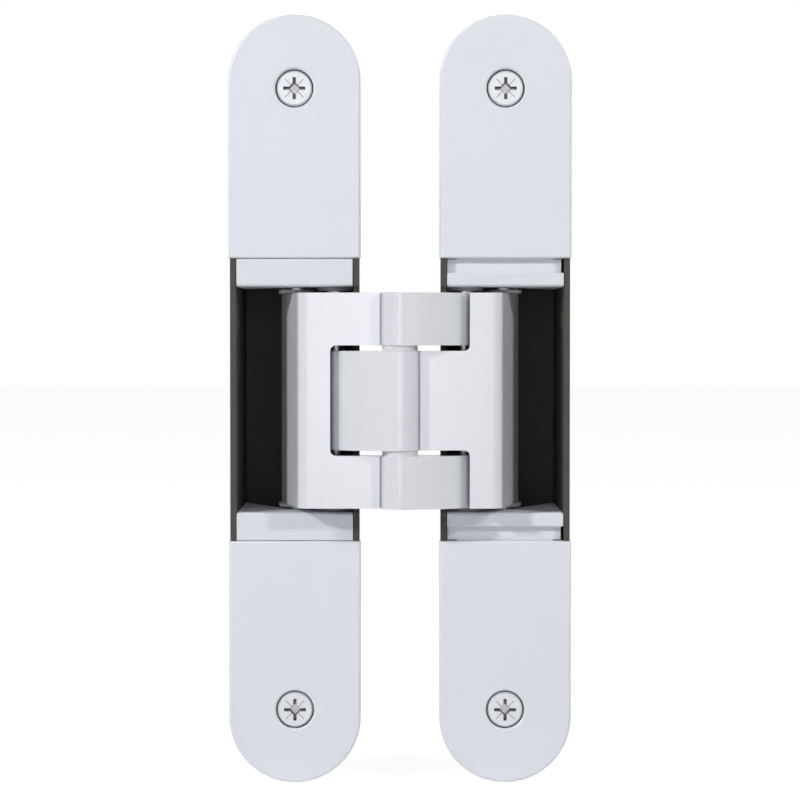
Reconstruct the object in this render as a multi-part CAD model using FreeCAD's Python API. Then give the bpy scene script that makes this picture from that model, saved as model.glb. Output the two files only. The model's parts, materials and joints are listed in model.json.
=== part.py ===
import FreeCAD, Part
import math
import os

# Concealed hinge for a flush door, drawn fully open. While it is drawn, X runs across both leaves
# with the middle of the gap between them at 0, Y runs into the wood from the face of the cover
# plates, and Z runs up the door. The last step moves the origin to the middle of the frame leaf's
# four fixing holes, on the seat of its flange.

# Leaves
LEAF_LENGTH = 160.0
LEAF_WIDTH = 27.5
LEAF_GAP = 16.4
CLOSED_GAP = 4.0

# Cover plates
COVER_THICKNESS = 1.2
COVER_BEVEL = 0.6
COVER_SCREW_FROM_END = 15.25

# Housings
HOUSING_INSET = 0.3
FLANGE_THICKNESS = 4.0
BODY_LENGTH = 100.0
BODY_DEPTH = 30.0
BODY_TAPER = 0.6
SIDE_WALL = 1.2
FLOOR = 1.5
RAIL_DROP = 0.3
ARM_RELIEF = 0.9
FIXING_SPACING_X = 13.0
FIXING_SPACING_Z = 115.0
FIXING_HOLE_RADIUS = 2.3
FIXING_HEAD_RADIUS = 4.2

# Bearing blocks
BLOCK_SIDE_GAP = 0.1
BLOCK_HEIGHT = 5.8
BLOCK_ARM_GAP = 1.3
BLOCK_END_GAP = 0.1
BLOCK_FLOOR_GAP = 0.2
BLOCK_CHAMFER = 0.4
BLOCK_SIDE_DEPTH = 24.8
BLOCK_NOTCH_DEPTH = 13.2
GUIDE_WALL = 1.5
FOOT_LENGTH = 12.5
FOOT_WIDTH = 20.0
FOOT_DEPTH = 4.5
STEP_HEIGHT = 2.9
STEP_DEPTH = 1.2
STEP_INSET = 0.4

# Pivots, in the open position
NEAR_PIVOT_X = 13.7
NEAR_PIVOT_DEPTH = 8.8
CENTRE_PIVOT_FRONT = 3.5
SLIDE_PIVOT_X = 22.1
SLIDE_PIVOT_DEPTH = 12.4
OPENING_ANGLE = 180.0
GUIDE_OVERRUN = 2.0

# Arms
ARM_HALF_HEIGHT = 22.25
TONGUE_HALF_HEIGHT = 10.25
ARM_SPACING = 1.15
PLATE_FRONT = 4.5
PLATE_BACK = 0.6
PLATE_REACH = 19.0
PLATE_STEP = 1.2
PLATE_LEDGE = 0.2
PLATE_BACK_END = 12.0
PLATE_BACK_BULGE = 2.0
SPINE_BACK_BULGE = 1.5
WAIST_RISE = 0.3
CORNER_WIDTH = 2.4
CORNER_DEPTH = 3.0
CORNER_BULGE = 0.94
SLOT_EDGE_X = 14.4
SLOT_EDGE_THICKNESS = 2.2
SLOT_CORNER_RADIUS = 1.2
CENTRE_KNUCKLE_RADIUS = 4.0
NEAR_KNUCKLE_RADIUS = 3.7
SLIDE_KNUCKLE_RADIUS = 3.3
TAIL_SHOULDER_INSET = 2.5
TAIL_BACK = 0.4
TAIL_END_BULGE = 2.0
TAIL_FRONT_BULGE = 0.35
CREST_ANGLE = 17.5
HOOK_RADIUS = 1.0

# Pins, washers and screws
PIN_RADIUS = 2.2
RUNNING_CLEARANCE = 0.05
PRESS_CLEARANCE = 0.02
GUIDE_CLEARANCE = 0.1
PIN_END_DEPTH = 4.2
BORE_END_DEPTH = 4.5
WASHER_RADIUS = 3.9
WASHER_THICKNESS = 0.7
SLIDE_WASHER_GAP = 0.15
SPACER_RADIUS = 3.66
SPACER_END_GAP = 0.05
COVER_SCREW_HEAD_RADIUS = 3.9
COVER_SCREW_RADIUS = 2.0
COVER_SCREW_LENGTH = 5.0
COVER_SCREW_SINK = 0.12
COVER_SCREW_HALO = 0.15

# How far a cut runs past the face it goes through
CUT_OVERRUN = 1.0

# Places worked out from the sizes above
leaf_centre = (LEAF_GAP + LEAF_WIDTH) / 2
half_length = LEAF_LENGTH / 2
housing_half_width = LEAF_WIDTH / 2 - HOUSING_INSET
pocket_half_width = housing_half_width - SIDE_WALL
flange_seat = COVER_THICKNESS + FLANGE_THICKNESS
pocket_floor = BODY_DEPTH - FLOOR
foot_seat = COVER_THICKNESS + FOOT_DEPTH
step_face = RAIL_DROP + STEP_DEPTH
block_inner_z = ARM_HALF_HEIGHT + BLOCK_ARM_GAP
block_outer_z = block_inner_z + BLOCK_HEIGHT
half_window = block_outer_z + BLOCK_END_GAP
foot_end_z = block_outer_z + FOOT_LENGTH
cover_screw_z = half_length - COVER_SCREW_FROM_END
fork_zone_z = TONGUE_HALF_HEIGHT + ARM_SPACING
sides = (-1, 1)


def vector(x, y, z=0.0):
    return FreeCAD.Vector(x, y, z)


def box(x0, x1, y0, y1, z0, z1):
    return Part.makeBox(x1 - x0, y1 - y0, z1 - z0, vector(x0, y0, z0))


def post(x, y, radius, z0, z1):
    """A cylinder that stands along the door."""
    return Part.makeCylinder(radius, z1 - z0, vector(x, y, z0))


def stud(x, z, radius, y0, y1):
    """A cylinder that points into the wood."""
    return Part.makeCylinder(radius, y1 - y0, vector(x, y0, z), vector(0, 1, 0))


def cone(x, z, radius0, radius1, y0, y1):
    return Part.makeCone(radius0, radius1, y1 - y0, vector(x, y0, z), vector(0, 1, 0))


def fused(first, *others):
    return first.fuse(list(others)).removeSplitter()


def mirrored(shape):
    """The same piece on the other side of the gap between the leaves."""
    return shape.mirror(vector(0, 0, 0), vector(1, 0, 0))


def stadium(half_width, half_height, y0, y1):
    """A slab with half-round ends, centred on a leaf at X = 0."""
    straight = half_height - half_width
    slab = box(-half_width, half_width, y0, y1, -straight, straight)
    ends = [stud(0, side * straight, half_width, y0, y1) for side in sides]
    return fused(slab, *ends)


def tapered_stadium(half_width, half_height, taper, y0, y1):
    """A slab like a stadium that is narrower all round at y1, by taper."""
    straight = half_height - half_width
    back_half = half_width - taper
    steps = [((back_half, y1), 0), ((-back_half, y1), 0), ((-half_width, y0), 0)]
    slab = profile((half_width, y0), steps, -straight, straight)
    ends = [cone(0, side * straight, half_width, back_half, y0, y1) for side in sides]
    return fused(slab, *ends)


def bulged_edge(start, end, bulge):
    """A line, or an arc that swells by bulge to the left of the way from start to end."""
    if bulge == 0:
        return Part.LineSegment(start, end).toShape()
    way = end - start
    outward = vector(-way.y, way.x).normalize()
    middle = (start + end) * 0.5 + outward * bulge
    return Part.Arc(start, middle, end).toShape()


def bulge_about(centre, start, end):
    """The bulge of the arc about centre that leads from start to end on the left of the way."""
    radius = math.dist(centre, start)
    length = math.dist(start, end)
    to_centre_x = centre[0] - (start[0] + end[0]) / 2
    to_centre_y = centre[1] - (start[1] + end[1]) / 2
    leftward = (to_centre_y * (end[0] - start[0]) - to_centre_x * (end[1] - start[1])) / length
    return radius + leftward


def profile(start, steps, z0, z1):
    """A prism along Z. Each step is the next corner and the bulge of the edge that leads to it."""
    corners = [vector(*start, z0)] + [vector(*corner, z0) for corner, bulge in steps]
    edges = [
        bulged_edge(before, after, bulge)
        for before, after, (corner, bulge) in zip(corners, corners[1:], steps)
    ]
    edges.append(Part.LineSegment(corners[-1], corners[0]).toShape())
    return Part.Face(Part.Wire(edges)).extrude(vector(0, 0, z1 - z0))


def turned(point, pivot, angle):
    """A point of the X-Y plane turned about a pivot; angle is in radians."""
    dx = point[0] - pivot[0]
    dy = point[1] - pivot[1]
    x = pivot[0] + dx * math.cos(angle) - dy * math.sin(angle)
    y = pivot[1] + dx * math.sin(angle) + dy * math.cos(angle)
    return (x, y)


def tangent_point(point, centre, radius):
    """Where a line from point touches a circle, on the side away from the door gap."""
    dx = centre[0] - point[0]
    dy = centre[1] - point[1]
    distance = math.hypot(dx, dy)
    angle = math.atan2(dy, dx) + math.asin(radius / distance)
    reach = math.sqrt(distance**2 - radius**2)
    return (point[0] + reach * math.cos(angle), point[1] + reach * math.sin(angle))


# Motion. The tongue arm turns on the near pivot of the frame leaf, the fork arm turns on the near
# pivot of the door leaf, and the two are pinned together at the centre. The far end of each arm
# slides in a curved guide in the other leaf.
near_pivot = (-NEAR_PIVOT_X, NEAR_PIVOT_DEPTH)
centre_pivot = (0.0, -CENTRE_PIVOT_FRONT)
slide_pivot = (-SLIDE_PIVOT_X, SLIDE_PIVOT_DEPTH)
arm_length = math.dist(near_pivot, centre_pivot)
open_angle = math.atan2(centre_pivot[1] - near_pivot[1], centre_pivot[0] - near_pivot[0])
closed_drop = NEAR_PIVOT_DEPTH + CLOSED_GAP / 2
closed_angle = -math.pi + math.asin(closed_drop / arm_length)
tongue_swing = open_angle - closed_angle
fork_swing = math.radians(OPENING_ANGLE) - tongue_swing
print("tongue arm turns", round(math.degrees(tongue_swing), 4), "degrees in the frame leaf")
print("fork arm turns", round(math.degrees(fork_swing), 4), "degrees in the frame leaf")


def slide_place(share):
    """Where the fork arm's slide pivot is when the door has turned by this share of its swing."""
    centre = turned(centre_pivot, near_pivot, -tongue_swing * share)
    x, y = turned(slide_pivot, centre_pivot, -fork_swing * share)
    return (x + centre[0] - centre_pivot[0], y + centre[1] - centre_pivot[1])


def guide_slot(radius, z0, z1):
    """The room that a round slide sweeps, as a prism. Its path keeps within 0.04 of a circle."""
    overrun = GUIDE_OVERRUN / OPENING_ANGLE
    places = [vector(*slide_place(share), z0) for share in (-overrun, 0.5, 1 + overrun)]
    path = Part.Circle(*places)
    outer, inner = [
        [path.Center + (place - path.Center) * (1 + offset / path.Radius) for place in places]
        for offset in (radius, -radius)
    ]
    first_cap, last_cap = [
        place + (place - places[1]).normalize() * radius for place in (places[0], places[2])
    ]
    edges = [
        Part.Arc(*outer).toShape(),
        Part.Arc(outer[2], last_cap, inner[2]).toShape(),
        Part.Arc(*reversed(inner)).toShape(),
        Part.Arc(inner[0], first_cap, outer[0]).toShape(),
    ]
    return Part.Face(Part.Wire(edges)).extrude(vector(0, 0, z1 - z0))


# Arms, drawn as the fork arm: its far half reaches into the frame leaf and its tail hooks over the
# edge of the door leaf. Outlines run along the front to the frame leaf's side and round the back.
def far_half(back, back_bulge):
    """The corner, the slanted side and the slide knuckle, up to a corner on the back."""
    corner_top = (-PLATE_REACH, -PLATE_FRONT)
    corner_side = (-PLATE_REACH - CORNER_WIDTH, -PLATE_FRONT + CORNER_DEPTH)
    side_end = tangent_point(corner_side, slide_pivot, SLIDE_KNUCKLE_RADIUS)
    knuckle_end = (slide_pivot[0] + SLIDE_KNUCKLE_RADIUS, slide_pivot[1])
    waist = (knuckle_end[0], near_pivot[1] - WAIST_RISE)
    return [
        (corner_top, 0),
        (corner_side, CORNER_BULGE),
        (side_end, 0),
        (knuckle_end, bulge_about(slide_pivot, side_end, knuckle_end)),
        (waist, 0),
        (back, -back_bulge),
    ]


def on_centre_knuckle(y):
    """Half the width of the centre knuckle at a depth y."""
    return math.sqrt(CENTRE_KNUCKLE_RADIUS**2 - (y - centre_pivot[1]) ** 2)


def tail():
    """From the plate's back round the hook and the near knuckle to the plate's step."""
    x = NEAR_PIVOT_X
    y = NEAR_PIVOT_DEPTH
    radius = NEAR_KNUCKLE_RADIUS
    step_y = -PLATE_FRONT + PLATE_STEP
    plate_end = (-on_centre_knuckle(-PLATE_BACK), -PLATE_BACK)
    tail_start = (on_centre_knuckle(-TAIL_BACK), -TAIL_BACK)
    hook_start = (x - radius - HOOK_RADIUS, -TAIL_BACK)
    hook_end = (x - radius, HOOK_RADIUS - TAIL_BACK)
    shoulder = (x - TAIL_SHOULDER_INSET, -PLATE_FRONT)
    crest_angle = math.radians(CREST_ANGLE)
    crest_x = CENTRE_KNUCKLE_RADIUS * math.sin(crest_angle)
    crest = (crest_x, centre_pivot[1] - CENTRE_KNUCKLE_RADIUS * math.cos(crest_angle))
    step_foot = (-on_centre_knuckle(step_y), step_y)
    return [
        (plate_end, 0),
        (tail_start, bulge_about(centre_pivot, plate_end, tail_start)),
        (hook_start, 0),
        (hook_end, -HOOK_RADIUS * (1 - math.sqrt(0.5))),
        ((x - radius, y), 0),
        ((x + radius, y), radius),
        (shoulder, TAIL_END_BULGE),
        (crest, TAIL_FRONT_BULGE),
        (step_foot, bulge_about(centre_pivot, crest, step_foot)),
        ((-CENTRE_KNUCKLE_RADIUS - PLATE_LEDGE, step_y), 0),
    ]


def spine(z0, z1):
    start = (-SLOT_EDGE_X, -PLATE_FRONT)
    back = (-SLOT_EDGE_X, -PLATE_FRONT + SLOT_EDGE_THICKNESS)
    return profile(start, far_half(back, SPINE_BACK_BULGE), z0, z1)


def arm_zone(z0, z1):
    start = (-CENTRE_KNUCKLE_RADIUS - PLATE_LEDGE, -PLATE_FRONT)
    back = (-PLATE_BACK_END, -PLATE_BACK)
    return profile(start, far_half(back, PLATE_BACK_BULGE) + tail(), z0, z1)


def arm_bores(centre_radius):
    """Bores for the near pin, the centre pin and the slide pin."""
    z = ARM_HALF_HEIGHT + CUT_OVERRUN
    return [
        post(NEAR_PIVOT_X, NEAR_PIVOT_DEPTH, PIN_RADIUS + RUNNING_CLEARANCE, -z, z),
        post(*centre_pivot, centre_radius, -z, z),
        post(*slide_pivot, PIN_RADIUS + PRESS_CLEARANCE, -z, z),
    ]


def with_round_corners(arm, zone_z):
    """Rounds the inner corners where the plate meets the spine."""
    corners = []
    for edge in arm.Edges:
        bounds = edge.BoundBox
        on_slot_edge = abs(bounds.XMin + SLOT_EDGE_X) < 0.01 and bounds.XLength < 0.01
        at_zone_end = abs(abs(bounds.Center.z) - zone_z) < 0.01 and bounds.ZLength < 0.01
        if on_slot_edge and at_zone_end:
            corners.append(edge)
    return arm.makeFillet(SLOT_CORNER_RADIUS, corners)


def fork_arm():
    lower = arm_zone(-ARM_HALF_HEIGHT, -fork_zone_z)
    upper = arm_zone(fork_zone_z, ARM_HALF_HEIGHT)
    arm = fused(spine(-fork_zone_z, fork_zone_z), lower, upper)
    arm = with_round_corners(arm, fork_zone_z)
    return arm.cut(arm_bores(PIN_RADIUS + PRESS_CLEARANCE))


def tongue_arm():
    lower = spine(-ARM_HALF_HEIGHT, -TONGUE_HALF_HEIGHT)
    upper = spine(TONGUE_HALF_HEIGHT, ARM_HALF_HEIGHT)
    arm = fused(arm_zone(-TONGUE_HALF_HEIGHT, TONGUE_HALF_HEIGHT), lower, upper)
    arm = with_round_corners(arm, TONGUE_HALF_HEIGHT)
    return mirrored(arm.cut(arm_bores(PIN_RADIUS + RUNNING_CLEARANCE)))


# Pins and washers, drawn for the frame leaf's side
pin_end_z = block_inner_z + PIN_END_DEPTH


def centre_pin():
    return post(*centre_pivot, PIN_RADIUS, -ARM_HALF_HEIGHT, ARM_HALF_HEIGHT)


def block_pin(place):
    """A pin that reaches into the upper and the lower block."""
    return post(*place, PIN_RADIUS, -pin_end_z, pin_end_z)


def washer_pair(place, radius, z0, z1):
    """Two washers on a pin, the same distance above and below the middle."""
    ring = post(*place, radius, z0, z1).cut(post(*place, PIN_RADIUS + PRESS_CLEARANCE, z0, z1))
    return Part.makeCompound([ring, ring.mirror(vector(0, 0, 0), vector(0, 0, 1))])


def near_washers():
    """Washers against the blocks, round the near pin."""
    return washer_pair(near_pivot, WASHER_RADIUS, block_inner_z - WASHER_THICKNESS, block_inner_z)


def slide_washers():
    """Washers beyond the ends of an arm, round its slide pin."""
    z0 = ARM_HALF_HEIGHT + SLIDE_WASHER_GAP
    return washer_pair(slide_pivot, WASHER_RADIUS, z0, z0 + WASHER_THICKNESS)


def centre_spacers():
    """Washers that keep the arms apart on the centre pin."""
    z0 = TONGUE_HALF_HEIGHT + SPACER_END_GAP
    return washer_pair(centre_pivot, SPACER_RADIUS, z0, fork_zone_z)


# Housing, drawn about its own middle line
def countersunk(x, z, head_radius, radius, head_y, end_y):
    """A countersunk screw, or the hole for one, at 90 degrees under the head."""
    shank_y = head_y + head_radius - radius
    head = cone(x, z, head_radius, radius, head_y, shank_y)
    return fused(head, stud(x, z, radius, shank_y, end_y))


def cover_screw_hole(z):
    extra = COVER_SCREW_HALO + COVER_SCREW_SINK
    head_radius = COVER_SCREW_HEAD_RADIUS + extra
    radius = COVER_SCREW_RADIUS + RUNNING_CLEARANCE
    return countersunk(0, z, head_radius, radius, 0, flange_seat + CUT_OVERRUN)


def housing():
    flange_half = half_length - HOUSING_INSET
    body_half = BODY_LENGTH / 2
    flange = stadium(housing_half_width, flange_half, COVER_THICKNESS, flange_seat)
    body = tapered_stadium(
        housing_half_width, body_half, BODY_TAPER, COVER_THICKNESS, BODY_DEPTH
    )
    rail_z = block_outer_z
    rails = box(
        -housing_half_width, housing_half_width, RAIL_DROP, COVER_THICKNESS, -rail_z, rail_z
    )
    shell = fused(flange, body, rails)
    pocket = box(-pocket_half_width, pocket_half_width, 0, pocket_floor, -half_window, half_window)
    recess_x = FOOT_WIDTH / 2 + BLOCK_SIDE_GAP
    recess_z = foot_end_z + BLOCK_END_GAP
    foot_recess = box(-recess_x, recess_x, 0, foot_seat, -recess_z, recess_z)
    relief = box(0, LEAF_WIDTH, 0, ARM_RELIEF, -block_inner_z, block_inner_z)
    shell = shell.cut([pocket, foot_recess, relief])
    holes = []
    for side in sides:
        holes.append(cover_screw_hole(side * cover_screw_z))
        for across in sides:
            x = across * FIXING_SPACING_X / 2
            z = side * FIXING_SPACING_Z / 2
            front = COVER_THICKNESS
            back = flange_seat + CUT_OVERRUN
            holes.append(countersunk(x, z, FIXING_HEAD_RADIUS, FIXING_HOLE_RADIUS, front, back))
    return shell.cut(holes)


def cover_plate(side):
    """One plate from the window to the half-round end, bevelled along its front edge."""
    plate_outline = stadium(LEAF_WIDTH / 2, half_length, 0, COVER_THICKNESS)
    keep = box(-LEAF_WIDTH, LEAF_WIDTH, 0, COVER_THICKNESS, half_window, LEAF_LENGTH)
    blank = plate_outline.common(keep)
    front_edges = [edge for edge in blank.Edges if edge.BoundBox.YMax < COVER_BEVEL / 2]
    blank = blank.makeChamfer(COVER_BEVEL, front_edges)
    cover = blank.cut(cover_screw_hole(cover_screw_z))
    return cover if side > 0 else cover.mirror(vector(0, 0, 0), vector(0, 0, 1))


def cover_screws():
    screws = []
    for side in sides:
        z = side * cover_screw_z
        head_y = COVER_SCREW_SINK
        radius = COVER_SCREW_RADIUS
        screw = countersunk(0, z, COVER_SCREW_HEAD_RADIUS, radius, head_y, COVER_SCREW_LENGTH)
        screws.append(screw)
    return Part.makeCompound(screws)


def bearing_block(side, stepped):
    """A block with the near bore and the guide, drawn in place in the frame leaf, upper or lower.
    The cover plate holds its foot down in the housing."""
    half_width = pocket_half_width - BLOCK_SIDE_GAP
    x0 = -leaf_centre - half_width
    x1 = -leaf_centre + half_width
    floor_y = pocket_floor - BLOCK_FLOOR_GAP
    slab = box(x0, x1, RAIL_DROP, floor_y, block_inner_z, block_outer_z)
    if stepped:
        step_z = block_outer_z - STEP_HEIGHT
        slab = slab.cut(box(x0, x1, RAIL_DROP, step_face, step_z, block_outer_z))
        slab = slab.cut(box(x0, x0 + STEP_INSET, RAIL_DROP, floor_y, step_z, block_outer_z))
    front_edge = [
        edge
        for edge in slab.Edges
        if edge.BoundBox.YMax < step_face / 2 and edge.BoundBox.ZMax < block_inner_z + STEP_INSET
    ]
    slab = slab.makeChamfer(BLOCK_CHAMFER, front_edge)
    foot_x0 = -leaf_centre - FOOT_WIDTH / 2
    foot_x1 = -leaf_centre + FOOT_WIDTH / 2
    foot = box(foot_x0, foot_x1, step_face, foot_seat, block_outer_z - CUT_OVERRUN, foot_end_z)
    cut_z0 = block_inner_z - CUT_OVERRUN
    cut_z1 = block_outer_z + CUT_OVERRUN
    bore_end = block_inner_z + BORE_END_DEPTH
    slot = guide_slot(PIN_RADIUS + GUIDE_CLEARANCE, cut_z0, bore_end)
    bore = post(*near_pivot, PIN_RADIUS + PRESS_CLEARANCE, cut_z0, bore_end)
    wall_x = slide_pivot[0] - PIN_RADIUS - GUIDE_CLEARANCE - GUIDE_WALL
    notch_steps = [
        ((wall_x, BLOCK_NOTCH_DEPTH), 0),
        ((wall_x, BODY_DEPTH), 0),
        ((x0, BODY_DEPTH), 0),
    ]
    notch = profile((x0, BLOCK_SIDE_DEPTH), notch_steps, cut_z0, cut_z1)
    block = fused(slab, foot).cut([slot, bore, notch])
    return block if side > 0 else block.mirror(vector(0, 0, 0), vector(0, 0, 1))


# Output. Pieces of a leaf that are drawn about its middle line move to the leaf's place.
os.makedirs("parts", exist_ok=True)
origin_shift = vector(leaf_centre, -flange_seat, 0)


def placed(shape, side):
    """A piece drawn about its leaf's middle line, moved to the frame leaf, or across to the door."""
    at_frame = shape.translated(vector(-leaf_centre, 0, 0))
    return at_frame if side < 0 else mirrored(at_frame)


def save(name, shape):
    final = shape.translated(origin_shift)
    bad = [solid for solid in final.Solids if not solid.isValid()]
    if bad or not final.Solids:
        raise ValueError(name + " isn't a sound solid")
    final.exportStep("parts/" + name + ".step")
    volume = sum(solid.Volume for solid in final.Solids)
    print(name, len(final.Solids), "solids", round(volume, 1), "cubic mm")


relieved_housing = housing()
for leaf, side in (("frame", -1), ("door", 1)):
    stepped = leaf == "door"
    across = mirrored if side > 0 else (lambda shape: shape)
    save(leaf + "_leaf_housing", placed(relieved_housing, side))
    for level, up in (("upper", 1), ("lower", -1)):
        save(leaf + "_cover_plate_" + level, placed(cover_plate(up), side))
        save(leaf + "_bearing_block_" + level, across(bearing_block(up, stepped)))
    save(leaf + "_cover_screws", placed(cover_screws(), side))
    save(leaf + "_near_pin", across(block_pin(near_pivot)))
    save(leaf + "_near_washers", across(near_washers()))

save("fork_arm", fork_arm())
save("tongue_arm", tongue_arm())
save("centre_pin", centre_pin())
save("centre_spacers", centre_spacers())
save("fork_slide_pin", block_pin(slide_pivot))
save("fork_slide_washers", slide_washers())
save("tongue_slide_pin", mirrored(block_pin(slide_pivot)))
save("tongue_slide_washers", mirrored(slide_washers()))
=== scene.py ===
import json
import math

import bpy
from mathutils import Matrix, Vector

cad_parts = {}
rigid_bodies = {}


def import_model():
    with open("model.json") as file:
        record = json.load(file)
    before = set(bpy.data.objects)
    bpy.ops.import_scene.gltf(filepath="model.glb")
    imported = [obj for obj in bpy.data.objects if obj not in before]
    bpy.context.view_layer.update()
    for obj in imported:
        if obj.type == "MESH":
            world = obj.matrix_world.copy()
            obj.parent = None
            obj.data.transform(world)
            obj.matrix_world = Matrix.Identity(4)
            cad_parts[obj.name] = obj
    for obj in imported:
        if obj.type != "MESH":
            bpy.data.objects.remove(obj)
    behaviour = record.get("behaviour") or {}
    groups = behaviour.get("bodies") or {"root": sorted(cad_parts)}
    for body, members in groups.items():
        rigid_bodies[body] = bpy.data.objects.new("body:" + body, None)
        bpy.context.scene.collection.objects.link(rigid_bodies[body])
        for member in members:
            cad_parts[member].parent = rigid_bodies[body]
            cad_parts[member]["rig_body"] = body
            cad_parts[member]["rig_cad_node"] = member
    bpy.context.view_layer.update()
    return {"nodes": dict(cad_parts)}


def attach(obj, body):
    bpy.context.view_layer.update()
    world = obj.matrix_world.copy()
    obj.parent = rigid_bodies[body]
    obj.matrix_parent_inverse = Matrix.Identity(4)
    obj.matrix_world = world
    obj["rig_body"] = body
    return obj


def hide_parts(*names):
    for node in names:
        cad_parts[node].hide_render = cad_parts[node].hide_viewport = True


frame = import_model()

# All lengths are in metres, in the solids' frame: X across the leaves, Y into the wood, Z up.
MM = 0.001
FRAME_LEAF_X = 0.0
DOOR_LEAF_X = 43.9 * MM
GAP_X = (FRAME_LEAF_X + DOOR_LEAF_X) / 2
FACE_Y = -5.2 * MM
LEAVES = (("frame", FRAME_LEAF_X), ("door", DOOR_LEAF_X))
LEVELS = (("upper", 0.0), ("lower", math.pi))

LEAF_RADIUS = 13.75 * MM
LEAF_HALF_LENGTH = 80 * MM
WINDOW_HALF_LENGTH = 29.45 * MM
COVER_THICKNESS = 1.2 * MM
COVER_EDGE = 0.55 * MM
END_VERTICES = 160

SCREW_Z = 64.75 * MM
SCREW_VERTICES = 96
SEAT_RADIUS = 3.98 * MM
SEAT_EDGE = 0.35 * MM
SEAT_DEPTH = 2 * MM
SEAT_OVERRUN = 1 * MM
SEAT_CLEARANCE = 1.5 * MM

HEAD_SINK = 0.12 * MM
HEAD_FACE_RADIUS = 3.35 * MM
HEAD_RIM_RADIUS = 3.7 * MM
HEAD_FACE_DEPTH = 0.1 * MM
SHANK_RADIUS = 2 * MM
# The screw behind its face: each step's depth and the radius that it ends at
SCREW_PROFILE = (
    (0.4 * MM, HEAD_RIM_RADIUS),
    (0.25 * MM, HEAD_RIM_RADIUS),
    (1.7 * MM, SHANK_RADIUS),
    (2.3 * MM, SHANK_RADIUS),
)
# The punches that form the recess: width, length, depth, and how much of each is left at its tip
WING_PUNCH = (1.05 * MM, 5.2 * MM, 1.0 * MM, (0.3, 1, 0.75))
CORE_PUNCH = (2.5 * MM, 2.5 * MM, 1.2 * MM, (0.6, 1, 0.6))
MARK_PUNCH = (0.18 * MM, 5.6 * MM, 0.16 * MM, (0.3, 1, 0.95))
RECESS_RADIUS = 3 * MM
RECESS_LIP = 0.02 * MM
CORE_FLOOR = 1.1 * MM
RECESS_END = 1.4 * MM

ARM_EDGE = 0.22 * MM
BLOCK_EDGE = 0.3 * MM
EDGE_SEGMENTS = 3

# How near to a plane, or how squarely to it, something lies that is selected by its place
NEAR = MM / 100
SQUARE = 0.9
MERGE_DISTANCE = 0.001 * MM

# Angles in degrees: faces that join into one, edges that get rounded, edges that are shaded smooth
COVER_FLAT_ANGLE = 1
SOLID_FLAT_ANGLE = 0.5
ROUNDED_ANGLE = 35
SMOOTH_ANGLE = 32
SCREW_SMOOTH_ANGLE = 25

FLOOR_SIZE = 6
FLOOR_DROP = 0.1 * MM
FLOOR_GLOW = 1.18
FLOOR_GLOW_SHARE = 0.8
SURROUND_LIGHT = 0.12
SURROUND_SEEN = 1.0

LENS = 86.51
SENSOR_WIDTH = 36
CAMERA_DISTANCE = 0.4
CAMERA_HEIGHT = 14 * MM
AIM_HEIGHT = 5.8 * MM
CLIP_START = 10 * MM


# Modelling helpers
def select_only(piece):
    """Ends edit mode and leaves one piece selected and active."""
    if bpy.context.object and bpy.context.object.mode != "OBJECT":
        bpy.ops.object.mode_set(mode="OBJECT")
    bpy.ops.object.select_all(action="DESELECT")
    piece.select_set(True)
    bpy.context.view_layer.objects.active = piece


def select_faces(piece, test):
    """Goes into edit mode with the faces selected whose middle and normal pass the test."""
    select_only(piece)
    mesh = piece.data
    chosen = [test(face.center, face.normal) for face in mesh.polygons]
    mesh.vertices.foreach_set("select", [False] * len(mesh.vertices))
    mesh.edges.foreach_set("select", [False] * len(mesh.edges))
    mesh.polygons.foreach_set("select", chosen)
    bpy.ops.object.mode_set(mode="EDIT")
    bpy.ops.mesh.select_mode(type="FACE")


def select_edges(piece, test):
    """Goes into edit mode with the edges selected whose two ends pass the test."""
    select_only(piece)
    mesh = piece.data
    passed = [test(vertex.co) for vertex in mesh.vertices]
    chosen = [passed[edge.vertices[0]] and passed[edge.vertices[1]] for edge in mesh.edges]
    bpy.ops.object.mode_set(mode="EDIT")
    bpy.ops.mesh.select_mode(type="EDGE")
    bpy.ops.mesh.select_all(action="DESELECT")
    bpy.ops.object.mode_set(mode="OBJECT")
    mesh.edges.foreach_set("select", chosen)
    bpy.ops.object.mode_set(mode="EDIT")


def apply_place(piece):
    """Moves a piece's place, turn and size into its mesh."""
    select_only(piece)
    bpy.ops.object.transform_apply(location=True, rotation=True, scale=True)


def outward_normals(piece):
    """Turns every face of a closed piece outwards."""
    select_only(piece)
    bpy.ops.object.mode_set(mode="EDIT")
    bpy.ops.mesh.select_all(action="SELECT")
    bpy.ops.mesh.normals_make_consistent(inside=False)
    bpy.ops.object.mode_set(mode="OBJECT")


def cut_with(piece, cutter):
    """Cuts one piece's shape out of another and drops the cutter."""
    select_only(piece)
    cut = piece.modifiers.new("cut", "BOOLEAN")
    cut.operation = "DIFFERENCE"
    cut.solver = "EXACT"
    cut.object = cutter
    bpy.ops.object.modifier_apply(modifier=cut.name)
    bpy.data.objects.remove(cutter)


def smooth_finish(piece, angle):
    """Smooth shading that keeps flat faces flat."""
    select_only(piece)
    bpy.ops.object.shade_smooth_by_angle(angle=math.radians(angle))
    even = piece.modifiers.new("even", "WEIGHTED_NORMAL")
    even.keep_sharp = True
    bpy.ops.object.modifier_apply(modifier=even.name)


def give(piece, material):
    """Makes a material the only one of a piece."""
    piece.data.materials.clear()
    piece.data.materials.append(material)


def on_both_leaves(first, part):
    """Copies a piece from the frame leaf's upper end to the other three ends and names all four."""
    pieces = []
    for leaf, leaf_x in LEAVES:
        for level, turn in LEVELS:
            piece = first
            if pieces:
                select_only(first)
                bpy.ops.object.duplicate()
                piece = bpy.context.object
                piece.location.x = leaf_x - FRAME_LEAF_X
                piece.rotation_euler.y = turn
                apply_place(piece)
            piece.name = leaf + "_" + part + "_" + level
            pieces.append((leaf, level, piece))
    return pieces


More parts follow.
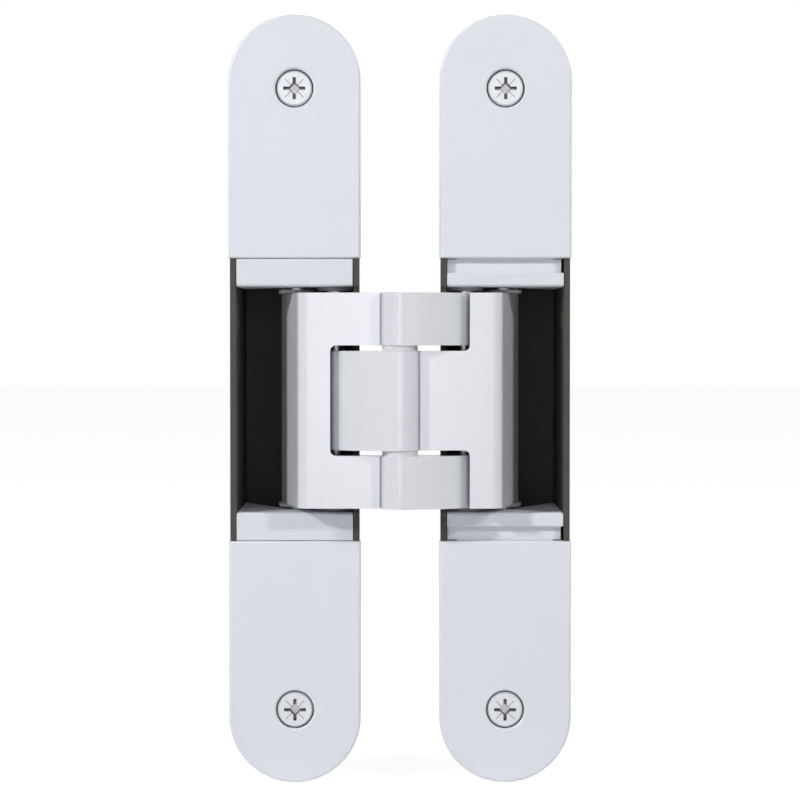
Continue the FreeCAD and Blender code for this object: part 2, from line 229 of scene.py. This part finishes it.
def rounded_copy(node, name, radius):
    """A copy of one of the frame's solids with its sharp edges rounded, to stand in its place."""
    select_only(frame["nodes"][node])
    bpy.ops.object.duplicate()
    piece = bpy.context.object
    piece.name = name
    piece.data.name = name
    piece.parent = None
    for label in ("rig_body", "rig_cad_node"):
        if label in piece:
            del piece[label]
    bpy.ops.mesh.customdata_custom_splitnormals_clear()
    bpy.ops.object.mode_set(mode="EDIT")
    bpy.ops.mesh.select_all(action="SELECT")
    bpy.ops.mesh.remove_doubles(threshold=MERGE_DISTANCE)
    bpy.ops.mesh.dissolve_limited(angle_limit=math.radians(SOLID_FLAT_ANGLE))
    bpy.ops.mesh.select_mode(type="EDGE")
    bpy.ops.mesh.select_all(action="DESELECT")
    bpy.ops.mesh.edges_select_sharp(sharpness=math.radians(ROUNDED_ANGLE))
    bpy.ops.mesh.bevel(offset=radius, segments=EDGE_SEGMENTS, affect="EDGES", clamp_overlap=True)
    bpy.ops.object.mode_set(mode="OBJECT")
    smooth_finish(piece, SMOOTH_ANGLE)
    return piece


# Shader helpers
class Value:
    """A shader socket that takes part in Python sums."""

    def __init__(self, nodes, socket):
        self.nodes = nodes
        self.socket = socket

    def math(self, operation, other):
        return self.nodes.add("ShaderNodeMath", {"operation": operation}, {0: self, 1: other})

    def __add__(self, other):
        return self.math("ADD", other)

    def __mul__(self, other):
        return self.math("MULTIPLY", other)

    __radd__ = __add__
    __rmul__ = __mul__


class Nodes:
    """The node tree of a material or of the world."""

    def __init__(self, tree):
        self.tree = tree

    def add(self, kind, settings, sockets, output=0):
        """Adds a node: its settings first, then the values or links of its sockets."""
        node = self.tree.nodes.new(kind)
        for name, value in settings.items():
            setattr(node, name, value)
        self.fill(node, sockets)
        return Value(self, node.outputs[output])

    def fill(self, node, sockets):
        """Links or sets a node's sockets."""
        for name, value in sockets.items():
            if isinstance(value, Value):
                self.tree.links.new(value.socket, node.inputs[name])
            else:
                node.inputs[name].default_value = value


class Finish(Nodes):
    """A material made of nodes around one Principled surface."""

    def __init__(self, name):
        self.material = bpy.data.materials.new(name)
        self.material.use_nodes = True
        super().__init__(self.material.node_tree)
        self.surface = self.tree.nodes["Principled BSDF"]
        self.place = self.add("ShaderNodeTexCoord", {}, {}, output="Object")

    def stretched(self, scale):
        """Object coordinates with each axis scaled, for grain that runs one way."""
        return self.add("ShaderNodeMapping", {}, {"Vector": self.place, "Scale": scale})

    def noise(self, size, detail, stretch=None):
        """Noise from 0 to 1 whose lumps are about this many metres across."""
        where = self.place if stretch is None else self.stretched(stretch)
        sockets = {"Vector": where, "Scale": 1 / size, "Detail": detail}
        return self.add("ShaderNodeTexNoise", {}, sockets)

    def mixed(self, amount, first, second):
        """One colour where amount is 0, the other where it is 1."""
        settings = {"data_type": "RGBA", "clamp_factor": True}
        sockets = {0: amount, 6: colour(*first), 7: colour(*second)}
        return self.add("ShaderNodeMix", settings, sockets, output=2)

    def bump(self, height, depth, strength):
        sockets = {"Height": height, "Distance": depth, "Strength": strength}
        return self.add("ShaderNodeBump", {}, sockets)

    def look(self, sockets):
        """Links or sets the surface's own sockets."""
        self.fill(self.surface, sockets)


def colour(red, green, blue):
    return (red, green, blue, 1.0)


# Finishes
def satin_silver_paint(name, shade, base, roughness):
    """Fine metallic paint: tiny flakes, a faint cloudiness and the texture of sprayed paint."""
    paint = Finish(name)
    flakes = paint.noise(size=0.12 * MM, detail=1.0)
    clouds = paint.noise(size=9 * MM, detail=3.0)
    peel = paint.noise(size=0.5 * MM, detail=2.0)
    paint.look({
        "Base Color": paint.mixed(flakes * 0.55 + clouds * 0.45, shade, base),
        "Roughness": roughness + flakes * 0.08 + clouds * 0.03,
        "Metallic": 0.03,
        "Coat Weight": 0.08,
        "Coat Roughness": 0.25,
        "Normal": paint.bump(peel * 0.7 + flakes * 0.3, depth=0.004 * MM, strength=0.5),
    })
    return paint.material


def satin_casting(name, shade, base):
    """Satin plated casting: faint clouds, a fine grain and a skin with slight unevenness."""
    metal = Finish(name)
    clouds = metal.noise(size=9 * MM, detail=3.0)
    grain = metal.noise(size=0.25 * MM, detail=1.0)
    peel = metal.noise(size=0.5 * MM, detail=2.0)
    metal.look({
        "Base Color": metal.mixed(clouds * 0.6 + grain * 0.4, shade, base),
        "Roughness": 0.2 + clouds * 0.03 + grain * 0.03,
        "Metallic": 0.25,
        "Coat Weight": 0.1,
        "Coat Roughness": 0.3,
        "Normal": metal.bump(peel, depth=0.003 * MM, strength=0.4),
    })
    return metal.material


def black_coating(name, dark, bright):
    """Dark textured powder coating with a warm cast in its depths."""
    coating = Finish(name)
    texture = coating.noise(size=0.35 * MM, detail=3.0)
    clouds = coating.noise(size=6 * MM, detail=2.0)
    coating.look({
        "Base Color": coating.mixed(texture * 0.4 + clouds * 0.6, dark, bright),
        "Roughness": 0.5 + texture * 0.14,
        "Specular IOR Level": 0.12,
        "Normal": coating.bump(texture, depth=0.02 * MM, strength=0.5),
    })
    return coating.material


def turned_steel(name, bright, dull):
    """Bright ground steel with fine rings across its length."""
    steel = Finish(name)
    rings = steel.noise(size=0.15 * MM, detail=2.0, stretch=(0.05, 0.05, 1.0))
    grime = steel.noise(size=2 * MM, detail=3.0)
    steel.look({
        "Base Color": steel.mixed(grime * 0.4, bright, dull),
        "Roughness": 0.2 + rings * 0.12 + grime * 0.06,
        "Metallic": 0.95,
        "Normal": steel.bump(rings, depth=0.004 * MM, strength=0.3),
    })
    return steel.material


def zinc_plating(name, dark, bright, metallic):
    """Plated steel of a screw, dulled here and there; in dark colours it serves as painted shade in
    the screw's recess.
    """
    plating = Finish(name)
    spots = plating.noise(size=0.3 * MM, detail=3.0)
    clouds = plating.noise(size=1.6 * MM, detail=2.0)
    plating.look({
        "Base Color": plating.mixed(spots * 0.6 + clouds * 0.4, dark, bright),
        "Roughness": 0.3 + spots * 0.12,
        "Metallic": metallic,
        "Normal": plating.bump(spots, depth=0.006 * MM, strength=0.4),
    })
    return plating.material


def pale_plastic(name, dark, bright):
    """Moulded washer plastic, slightly waxy, with a fine grain."""
    plastic = Finish(name)
    grain = plastic.noise(size=0.2 * MM, detail=2.0)
    clouds = plastic.noise(size=2.5 * MM, detail=2.0)
    plastic.look({
        "Base Color": plastic.mixed(clouds, dark, bright),
        "Roughness": 0.36 + grain * 0.12,
        "Normal": plastic.bump(grain, depth=0.006 * MM, strength=0.4),
    })
    return plastic.material


cover_paint = satin_silver_paint(
    "cover_paint", shade=(0.725, 0.745, 0.815), base=(0.765, 0.79, 0.85), roughness=0.37
)
block_paint = satin_silver_paint(
    "block_paint", shade=(0.70, 0.72, 0.775), base=(0.74, 0.765, 0.815), roughness=0.40
)
arm_silver = satin_casting("arm_silver", shade=(0.66, 0.67, 0.715), base=(0.71, 0.725, 0.765))
pocket_black = black_coating(
    "pocket_black", dark=(0.068, 0.070, 0.060), bright=(0.094, 0.096, 0.084)
)
pin_steel = turned_steel("pin_steel", bright=(0.62, 0.63, 0.65), dull=(0.35, 0.35, 0.36))
screw_zinc = zinc_plating(
    "screw_zinc", dark=(0.58, 0.60, 0.64), bright=(0.78, 0.79, 0.82), metallic=0.5
)
# Painted shade: dark plating colours that stand in for the shade inside the screw's cross recess.
screw_recess_painted_shade = zinc_plating(
    "screw_recess_painted_shade", dark=(0.16, 0.16, 0.17), bright=(0.26, 0.26, 0.28), metallic=0.3
)
washer_plastic = pale_plastic("washer_plastic", dark=(0.66, 0.67, 0.70), bright=(0.78, 0.79, 0.82))


# Cover plates: a half disc drawn down to the window, given its thickness, its screw seat and a
# rounded front edge.
def cover_plate():
    middle = LEAF_HALF_LENGTH - LEAF_RADIUS
    bpy.ops.object.select_all(action="DESELECT")
    bpy.ops.mesh.primitive_circle_add(
        vertices=END_VERTICES,
        radius=LEAF_RADIUS,
        fill_type="NGON",
        location=(FRAME_LEAF_X, FACE_Y + COVER_THICKNESS, middle),
        rotation=(math.pi / 2, 0, 0),
    )
    plate = bpy.context.object
    apply_place(plate)
    bpy.ops.object.mode_set(mode="EDIT")
    bpy.ops.mesh.select_all(action="SELECT")
    bpy.ops.mesh.bisect(
        plane_co=(FRAME_LEAF_X, FACE_Y, middle), plane_no=(0, 0, 1), clear_inner=True
    )
    straight = WINDOW_HALF_LENGTH - middle
    select_edges(plate, lambda point: abs(point.z - middle) < NEAR)
    bpy.ops.mesh.extrude_region_move(TRANSFORM_OT_translate={"value": (0, 0, straight)})
    select_faces(plate, lambda where, normal: True)
    bpy.ops.mesh.dissolve_limited(angle_limit=math.radians(COVER_FLAT_ANGLE))
    bpy.ops.mesh.select_all(action="SELECT")
    bpy.ops.mesh.extrude_region_move(TRANSFORM_OT_translate={"value": (0, -COVER_THICKNESS, 0)})
    outward_normals(plate)
    cut_with(plate, screw_seat())

    def on_outer_edge(point):
        away = math.hypot(point.x - FRAME_LEAF_X, point.z - SCREW_Z)
        return point.y < FACE_Y + NEAR and away > SEAT_RADIUS + SEAT_CLEARANCE

    select_edges(plate, on_outer_edge)
    bpy.ops.mesh.bevel(
        offset=COVER_EDGE, segments=EDGE_SEGMENTS, affect="EDGES", clamp_overlap=True
    )
    smooth_finish(plate, SMOOTH_ANGLE)
    give(plate, cover_paint)
    return plate


def screw_seat():
    """The cutter for a plate's screw hole: a cylinder whose mouth flares into a chamfer."""
    bpy.ops.mesh.primitive_cylinder_add(
        vertices=SCREW_VERTICES,
        radius=SEAT_RADIUS,
        depth=SEAT_DEPTH,
        location=(FRAME_LEAF_X, FACE_Y + SEAT_EDGE + SEAT_DEPTH / 2, SCREW_Z),
        rotation=(math.pi / 2, 0, 0),
    )
    seat = bpy.context.object
    apply_place(seat)
    flare = 1 + SEAT_EDGE / SEAT_RADIUS
    mouth = FACE_Y + SEAT_EDGE
    for depth, size in ((SEAT_EDGE, flare), (SEAT_OVERRUN, 1)):
        select_faces(seat, lambda where, normal: where.y < mouth + NEAR and normal.y < -SQUARE)
        bpy.ops.mesh.extrude_region_move(TRANSFORM_OT_translate={"value": (0, -depth, 0)})
        bpy.ops.transform.resize(value=(size, 1, size))
        bpy.ops.object.mode_set(mode="OBJECT")
        mouth -= depth
    outward_normals(seat)
    return seat


for leaf, level, plate in on_both_leaves(cover_plate(), "cover"):
    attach(plate, leaf + "_leaf")
    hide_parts(leaf + "_cover_plate_" + level)


# Cover screws: a countersunk head with a cross recess, a square core between its wings and four
# fine marks between them.
def cover_screw():
    head = Vector((FRAME_LEAF_X, FACE_Y + HEAD_SINK, SCREW_Z))
    bpy.ops.object.select_all(action="DESELECT")
    bpy.ops.mesh.primitive_cylinder_add(
        vertices=SCREW_VERTICES,
        radius=HEAD_FACE_RADIUS,
        depth=HEAD_FACE_DEPTH,
        location=(head.x, head.y + HEAD_FACE_DEPTH / 2, head.z),
        rotation=(math.pi / 2, 0, 0),
    )
    screw = bpy.context.object
    apply_place(screw)
    back = head.y + HEAD_FACE_DEPTH
    radius = HEAD_FACE_RADIUS
    for depth, end_radius in SCREW_PROFILE:
        size = end_radius / radius
        select_faces(screw, lambda where, normal: where.y > back - NEAR and normal.y > SQUARE)
        bpy.ops.mesh.extrude_region_move(TRANSFORM_OT_translate={"value": (0, depth, 0)})
        bpy.ops.transform.resize(value=(size, 1, size))
        bpy.ops.object.mode_set(mode="OBJECT")
        back += depth
        radius = end_radius
    outward_normals(screw)
    for turn, punch in (
        (0, WING_PUNCH),
        (90, WING_PUNCH),
        (45, CORE_PUNCH),
        (45, MARK_PUNCH),
        (135, MARK_PUNCH),
    ):
        cut_with(screw, tapered_bar(*punch, math.radians(turn), head))
    smooth_finish(screw, SCREW_SMOOTH_ANGLE)
    give(screw, screw_zinc)
    # Painted shade: the faces inside the cross recess, all but the core's floor, take the dark
    # second material as the shade inside the recess; the core's floor keeps the plating.
    screw.data.materials.append(screw_recess_painted_shade)
    for face in screw.data.polygons:
        where = face.center - head
        in_recess = math.hypot(where.x, where.z) < RECESS_RADIUS
        in_recess = in_recess and RECESS_LIP < where.y < RECESS_END
        core_floor = face.normal.y < -SQUARE and where.y > CORE_FLOOR
        if in_recess and not core_floor:
            face.material_index = 1
    return screw


def tapered_bar(width, length, depth, taper, turn, middle):
    """A block that narrows as it goes into the head, as a punch that forms the recess does."""
    bpy.ops.object.select_all(action="DESELECT")
    bpy.ops.mesh.primitive_cube_add(size=1, location=(0, 0, 0))
    bar = bpy.context.object
    bar.scale = (width, 2 * depth, length)
    apply_place(bar)
    select_faces(bar, lambda where, normal: normal.y > SQUARE)
    bpy.ops.transform.resize(value=taper)
    bpy.ops.object.mode_set(mode="OBJECT")
    bar.location = middle
    bar.rotation_euler.y = turn
    apply_place(bar)
    return bar


for leaf, level, screw in on_both_leaves(cover_screw(), "screw"):
    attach(screw, leaf + "_leaf")
    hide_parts(leaf + "_cover_screws")


# Arms and blocks keep the solids' shapes and get the small radii of real castings.
for arm in ("fork_arm", "tongue_arm"):
    casting = rounded_copy(arm, arm + "_casting", ARM_EDGE)
    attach(casting, arm)
    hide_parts(arm)
    give(casting, arm_silver)

for leaf in ("frame", "door"):
    for level in ("upper", "lower"):
        node = leaf + "_bearing_block_" + level
        block = rounded_copy(node, leaf + "_block_" + level, BLOCK_EDGE)
        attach(block, leaf + "_leaf")
        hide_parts(node)
        give(block, block_paint)

# Housings, pins, washers and spacers are the solids themselves.
for node, solid in frame["nodes"].items():
    if node.endswith("_housing"):
        give(solid, pocket_black)
    if node.endswith("_pin"):
        give(solid, pin_steel)
    if node.endswith("_washers") or node.endswith("_spacers"):
        give(solid, washer_plastic)


# Studio: a pale floor, a white surround and soft lights
def seen_itself(nodes):
    """1 for what the camera sees, also in gloss or through glass, and 0 for the light it gives."""
    camera_ray = nodes.add("ShaderNodeLightPath", {}, {}, output="Is Camera Ray")
    glossy_ray = nodes.add("ShaderNodeLightPath", {}, {}, output="Is Glossy Ray")
    transmission_ray = nodes.add("ShaderNodeLightPath", {}, {}, output="Is Transmission Ray")
    return camera_ray + glossy_ray + transmission_ray


def look_at(thing, target):
    """Turns a lamp or the camera towards a point."""
    way = Vector(target) - thing.location
    thing.rotation_euler = way.to_track_quat("-Z", "Y").to_euler()


bpy.ops.object.select_all(action="DESELECT")
bpy.ops.mesh.primitive_plane_add(
    size=FLOOR_SIZE, location=(GAP_X, 0, -LEAF_HALF_LENGTH - FLOOR_DROP)
)
floor = bpy.context.object
floor.name = "floor"
floor_paper = Finish("floor_paper")
speckle = floor_paper.noise(size=4 * MM, detail=2.0)
floor_paper.look({
    "Base Color": floor_paper.mixed(speckle, (0.86, 0.86, 0.86), (0.9, 0.9, 0.9)),
    "Roughness": 0.9,
    "Specular IOR Level": 0.0,
})
share = seen_itself(floor_paper) * FLOOR_GLOW_SHARE
paper = Value(floor_paper, floor_paper.surface.outputs[0])
glow_sockets = {"Color": colour(1, 1, 1), "Strength": FLOOR_GLOW}
glow = floor_paper.add("ShaderNodeEmission", {}, glow_sockets)
blend = floor_paper.add("ShaderNodeMixShader", {}, {0: share, 1: paper, 2: glow})
floor_paper.fill(floor_paper.tree.nodes["Material Output"], {"Surface": blend})
give(floor, floor_paper.material)


def soft_light(name, azimuth, elevation, distance, size, power):
    """A lamp panel; azimuth is to the right of the camera's side and elevation is upwards."""
    panel = bpy.data.lights.new(name, "AREA")
    panel.shape = "RECTANGLE"
    panel.size, panel.size_y = size
    panel.energy = power
    lamp = bpy.data.objects.new(name, panel)
    bpy.context.scene.collection.objects.link(lamp)
    across = math.radians(azimuth)
    up = math.radians(elevation)
    way = Vector((math.sin(across) * math.cos(up), -math.cos(across) * math.cos(up), math.sin(up)))
    centre = Vector((GAP_X, FACE_Y, 0))
    lamp.location = centre + way * distance
    look_at(lamp, centre)


soft_light("front_top", azimuth=-6, elevation=50, distance=2.4, size=(0.8, 0.8), power=2.6)
soft_light("front_low", azimuth=-5, elevation=6, distance=1.1, size=(1.2, 0.4), power=0.5)
soft_light("key_left", azimuth=-58, elevation=27, distance=1.2, size=(0.08, 0.08), power=8.4)
soft_light("key_right", azimuth=58, elevation=27, distance=1.2, size=(0.08, 0.08), power=5.5)
soft_light("front_strip", azimuth=-2, elevation=4, distance=0.6, size=(0.035, 0.3), power=0.085)

world = bpy.data.worlds.new("surround")
bpy.context.scene.world = world
world.use_nodes = True
surround = Nodes(world.node_tree)
range_sockets = {"Value": seen_itself(surround), "To Min": SURROUND_LIGHT, "To Max": SURROUND_SEEN}
strength = surround.add("ShaderNodeMapRange", {}, range_sockets)
background_sockets = {"Color": colour(1, 1, 1), "Strength": strength}
surround.fill(world.node_tree.nodes["Background"], background_sockets)

camera_data = bpy.data.cameras.new("camera")
camera_data.lens = LENS
camera_data.sensor_width = SENSOR_WIDTH
camera_data.shift_y = -AIM_HEIGHT * LENS / (SENSOR_WIDTH * CAMERA_DISTANCE)
camera_data.clip_start = CLIP_START
camera = bpy.data.objects.new("camera", camera_data)
bpy.context.scene.collection.objects.link(camera)
camera.location = (GAP_X, FACE_Y - CAMERA_DISTANCE, CAMERA_HEIGHT)
look_at(camera, (GAP_X, FACE_Y, AIM_HEIGHT))
bpy.context.scene.camera = camera
bpy.context.scene.view_settings.view_transform = "Standard"
